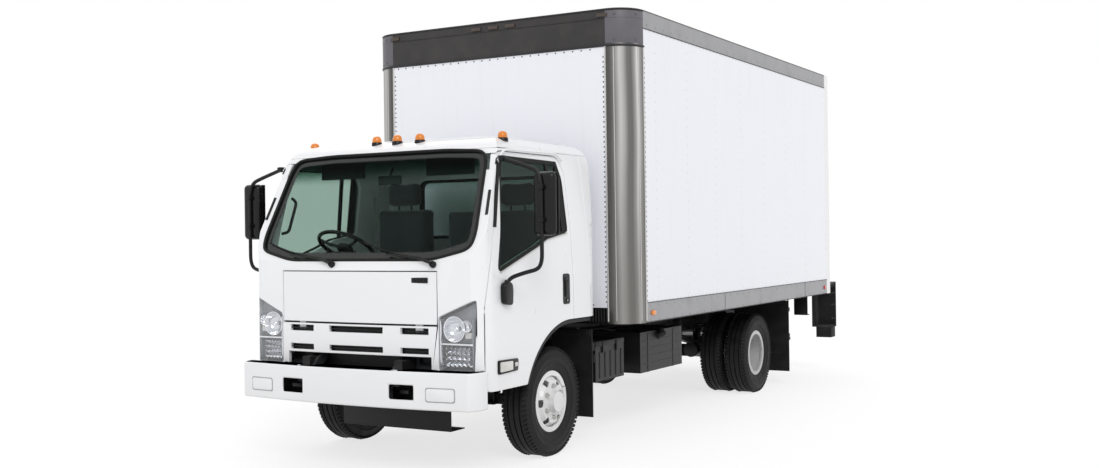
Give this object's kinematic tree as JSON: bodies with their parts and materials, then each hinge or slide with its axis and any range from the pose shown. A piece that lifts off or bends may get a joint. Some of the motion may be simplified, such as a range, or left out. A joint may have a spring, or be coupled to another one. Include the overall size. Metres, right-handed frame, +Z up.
{
  "type": "box truck",
  "caption": "Forward-control box truck: tilting cab, ladder frame, twin rear tyres, sheet-and-post freight body and a folded lift gate.",
  "frame": {"origin": "on the ground under the middle of the whole truck", "axes": "front faces -Y, +X is the truck's left, +Z is up"},
  "size_m": [2.704, 7.0568, 3.28],
  "materials": {
    "chassis_black": "satin paint, dusty",
    "cast_grey": "rough casting",
    "tank_black": "satin black",
    "exhaust_steel": "heat-stained steel",
    "cab_white": "gloss white paint",
    "flap_rubber": "matt moulded rubber",
    "body_panel": "white panel, slightly cool",
    "roof_sheet": "plain sheet",
    "floor_dark": "dark undercoated sills and hardwood edge",
    "post_steel": "polished stainless with soft bands",
    "cap_grey": "dark grey",
    "rail_aluminium": "mill finish",
    "interior_grey": "grained plastic",
    "clear_glass": "green-tinted glass",
    "lamp_clear": "clear lens over bright bowls",
    "lamp_amber": "amber lens",
    "trim_black": "black moulded plastic and painted tube",
    "seat_cloth": "dark grey cloth",
    "tyre_black": "road tyre",
    "wheel_white": "white paint",
    "wheel_grey": "pale grey paint"
  },
  "bodies": {
    "chassis": {"frame_rails": "chassis_black", "crossmembers": "chassis_black", "front_axle": "chassis_black", "rear_axle": "chassis_black", "leaf_springs": "chassis_black", "drive_shaft": "chassis_black", "engine_block": "cast_grey", "fuel_tank": "tank_black", "battery_box": "tank_black", "exhaust": "exhaust_steel", "front_bumper": "cab_white", "mud_flaps": "flap_rubber", "box_floor": "floor_dark", "cross_sills": "floor_dark", "long_sills": "floor_dark", "box_front_wall": "body_panel", "box_side_walls": "body_panel", "box_roof": "roof_sheet", "box_corner_posts": "post_steel", "box_front_cap": "cap_grey", "box_side_rails": "rail_aluminium", "rear_frame": "cab_white", "roll_door": "body_panel", "liftgate_frame": "chassis_black"},
    "cab": {"cab_floor": "interior_grey", "cab_back": "cab_white", "cab_roof": "cab_white", "cab_front": "cab_white", "cab_glass": "clear_glass", "headlamps": "lamp_clear", "wheel_flares": "trim_black", "dashboard": "interior_grey", "cab_seats": "seat_cloth", "marker_lamps": "lamp_amber"},
    "front_lid": {"front_lid": "cab_white"},
    "steering_wheel": {"steering_wheel": "trim_black"},
    "door_left": {"door_left": "cab_white", "door_glass_left": "clear_glass", "mirror_left": "trim_black"},
    "door_right": {"door_right": "cab_white", "door_glass_right": "clear_glass", "mirror_right": "trim_black"},
    "knuckle_left": {"knuckle_left": "chassis_black"},
    "knuckle_right": {"knuckle_right": "chassis_black"},
    "wheel_front_left": {"front_tyre_left": "tyre_black", "front_rim_left": "wheel_white"},
    "wheel_front_right": {"front_tyre_right": "tyre_black", "front_rim_right": "wheel_white"},
    "wheels_rear_left": {"rear_tyres_left": "tyre_black", "rear_rims_left": "wheel_grey"},
    "wheels_rear_right": {"rear_tyres_right": "tyre_black", "rear_rims_right": "wheel_grey"},
    "lift_arms": {"lift_arms": "chassis_black"},
    "lift_platform": {"lift_platform": "chassis_black"}
  },
  "joints": [
    {"name": "cab_tilt", "type": "hinge", "parent": "chassis", "child": "cab", "pos_m": [0, -3.4485, 0.62], "axis": [1, 0, 0], "range_deg": [0, 45]},
    {"name": "front_lid_hinge", "type": "hinge", "parent": "cab", "child": "front_lid", "pos_m": [0, -3.3945, 1.332], "axis": [-1, 0, 0], "range_deg": [0, 75]},
    {"name": "door_left_hinge", "type": "hinge", "parent": "cab", "child": "door_left", "pos_m": [0.97, -3.2705, 1], "axis": [0, 0, -1], "range_deg": [0, 75]},
    {"name": "door_right_hinge", "type": "hinge", "parent": "cab", "child": "door_right", "pos_m": [-0.97, -3.2705, 1], "axis": [0, 0, 1], "range_deg": [0, 75]},
    {"name": "steer_left", "type": "hinge", "parent": "chassis", "child": "knuckle_left", "pos_m": [0.715, -2.3485, 0.385], "axis": [0, 0, 1], "range_deg": [-38, 38]},
    {"name": "steer_right", "type": "hinge", "parent": "chassis", "child": "knuckle_right", "pos_m": [-0.715, -2.3485, 0.385], "axis": [0, 0, 1], "range_deg": [-38, 38]},
    {"name": "steering_wheel_turn", "type": "hinge", "parent": "cab", "child": "steering_wheel", "pos_m": [-0.47, -2.9085, 1.5], "axis": [0, 0.5299, 0.848], "range_deg": [-540, 540]},
    {"name": "roll_front_left", "type": "hinge", "parent": "knuckle_left", "child": "wheel_front_left", "pos_m": [0.832, -2.3485, 0.385], "axis": [1, 0, 0], "continuous": true},
    {"name": "roll_front_right", "type": "hinge", "parent": "knuckle_right", "child": "wheel_front_right", "pos_m": [-0.832, -2.3485, 0.385], "axis": [1, 0, 0], "continuous": true},
    {"name": "roll_rear_left", "type": "hinge", "parent": "chassis", "child": "wheels_rear_left", "pos_m": [0.825, 1.4615, 0.385], "axis": [1, 0, 0], "continuous": true},
    {"name": "roll_rear_right", "type": "hinge", "parent": "chassis", "child": "wheels_rear_right", "pos_m": [-0.825, 1.4615, 0.385], "axis": [1, 0, 0], "continuous": true},
    {"name": "lift_arm_pivot", "type": "hinge", "parent": "chassis", "child": "lift_arms", "pos_m": [0, 2.6015, 0.5], "axis": [-1, 0, 0], "range_deg": [0, 28]},
    {"name": "lift_platform_pivot", "type": "hinge", "parent": "lift_arms", "child": "lift_platform", "pos_m": [0, 3.2715, 0.47], "axis": [1, 0, 0], "range_deg": [0, 28]}
  ],
  "couplings": [
    {"joint": "steer_right", "follows": "steer_left", "ratio": 1},
    {"joint": "steering_wheel_turn", "follows": "steer_left", "ratio": 14},
    {"joint": "lift_platform_pivot", "follows": "lift_arm_pivot", "ratio": 1}
  ]
}
